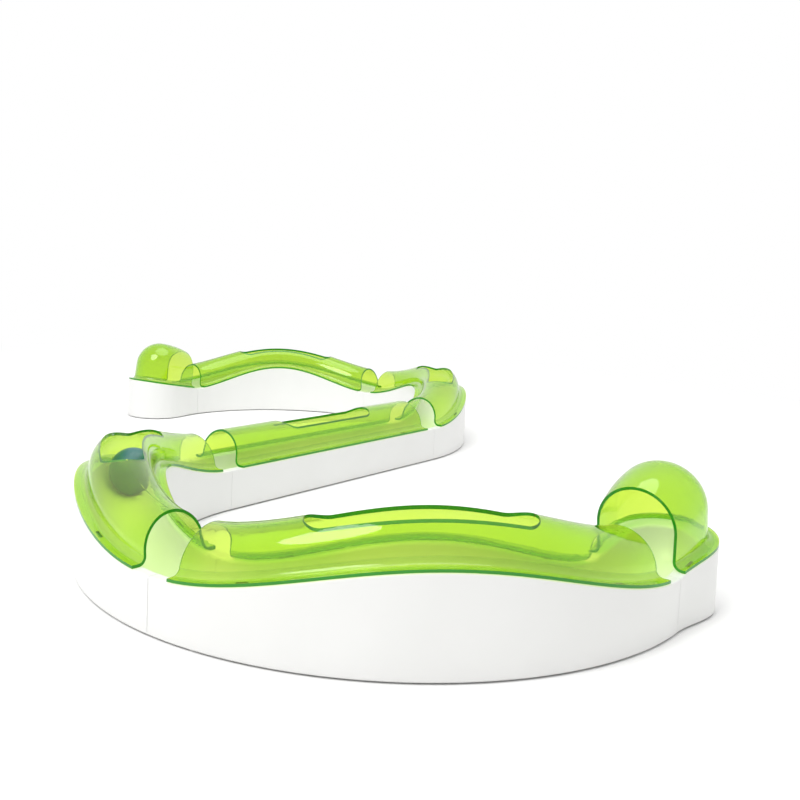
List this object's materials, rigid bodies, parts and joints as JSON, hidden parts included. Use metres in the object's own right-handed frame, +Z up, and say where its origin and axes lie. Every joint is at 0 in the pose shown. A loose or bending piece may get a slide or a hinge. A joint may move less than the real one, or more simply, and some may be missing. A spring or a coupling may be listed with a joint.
{
  "type": "cat ball track toy",
  "caption": "S-shaped cat toy: click-together white track modules with hills, clear green arched covers with windows and paw gaps, domed end hoods, and a ball that rolls inside",
  "frame": {"origin": "on the floor, under the middle of the straight module, where the S turns onto itself", "axes": "+Z up, +Y along the length of the S from the front curve to the rear curve, +X to the right seen from the front"},
  "size_m": [0.5004, 1.0158, 0.1038],
  "materials": {
    "white_plastic": "satin moulded white plastic",
    "clear_green": "clear lime green plastic, polished",
    "foot_rubber": "soft pale grey rubber",
    "ball_plastic": "dark slate blue plastic"
  },
  "bodies": {
    "track": {"front_curve_base": "white_plastic", "front_curve_pads": "foot_rubber", "left_curve_base": "white_plastic", "left_curve_pads": "foot_rubber", "right_curve_base": "white_plastic", "right_curve_pads": "foot_rubber", "rear_curve_base": "white_plastic", "rear_curve_pads": "foot_rubber", "front_end_base": "white_plastic", "front_end_pads": "foot_rubber", "rear_end_base": "white_plastic", "rear_end_pads": "foot_rubber", "straight_base": "white_plastic", "straight_pads": "foot_rubber"},
    "ball": {"ball_lower_half": "ball_plastic", "ball_upper_half": "ball_plastic"},
    "front_lid": {"front_curve_cover": "clear_green"},
    "left_lid": {"left_curve_cover": "clear_green"},
    "right_lid": {"right_curve_cover": "clear_green"},
    "rear_lid": {"rear_curve_cover": "clear_green"},
    "straight_lid": {"straight_cover": "clear_green"},
    "front_hood": {"front_end_hood": "clear_green"},
    "rear_hood": {"rear_end_hood": "clear_green"}
  },
  "joints": [
    {"name": "ball_roll", "type": "hinge", "parent": "track", "child": "ball", "pos_m": [-0.02862, -0.26735, -0.03758], "axis": [0.5392, 0.0407, 0.8412], "range_deg": [-13, 53]},
    {"name": "front_lid_lift", "type": "slide", "parent": "track", "child": "front_lid", "axis": [0, 0, 1], "range_m": [0, 0.06]},
    {"name": "left_lid_lift", "type": "slide", "parent": "track", "child": "left_lid", "axis": [0, 0, 1], "range_m": [0, 0.06]},
    {"name": "right_lid_lift", "type": "slide", "parent": "track", "child": "right_lid", "axis": [0, 0, 1], "range_m": [0, 0.06]},
    {"name": "rear_lid_lift", "type": "slide", "parent": "track", "child": "rear_lid", "axis": [0, 0, 1], "range_m": [0, 0.06]},
    {"name": "straight_lid_lift", "type": "slide", "parent": "track", "child": "straight_lid", "axis": [0, 0, 1], "range_m": [0, 0.06]},
    {"name": "front_hood_lift", "type": "slide", "parent": "track", "child": "front_hood", "axis": [-0.1228, -0.1228, 0.9848], "range_m": [0, 0.08]},
    {"name": "rear_hood_lift", "type": "slide", "parent": "track", "child": "rear_hood", "axis": [0.1228, 0.1228, 0.9848], "range_m": [0, 0.08]}
  ]
}
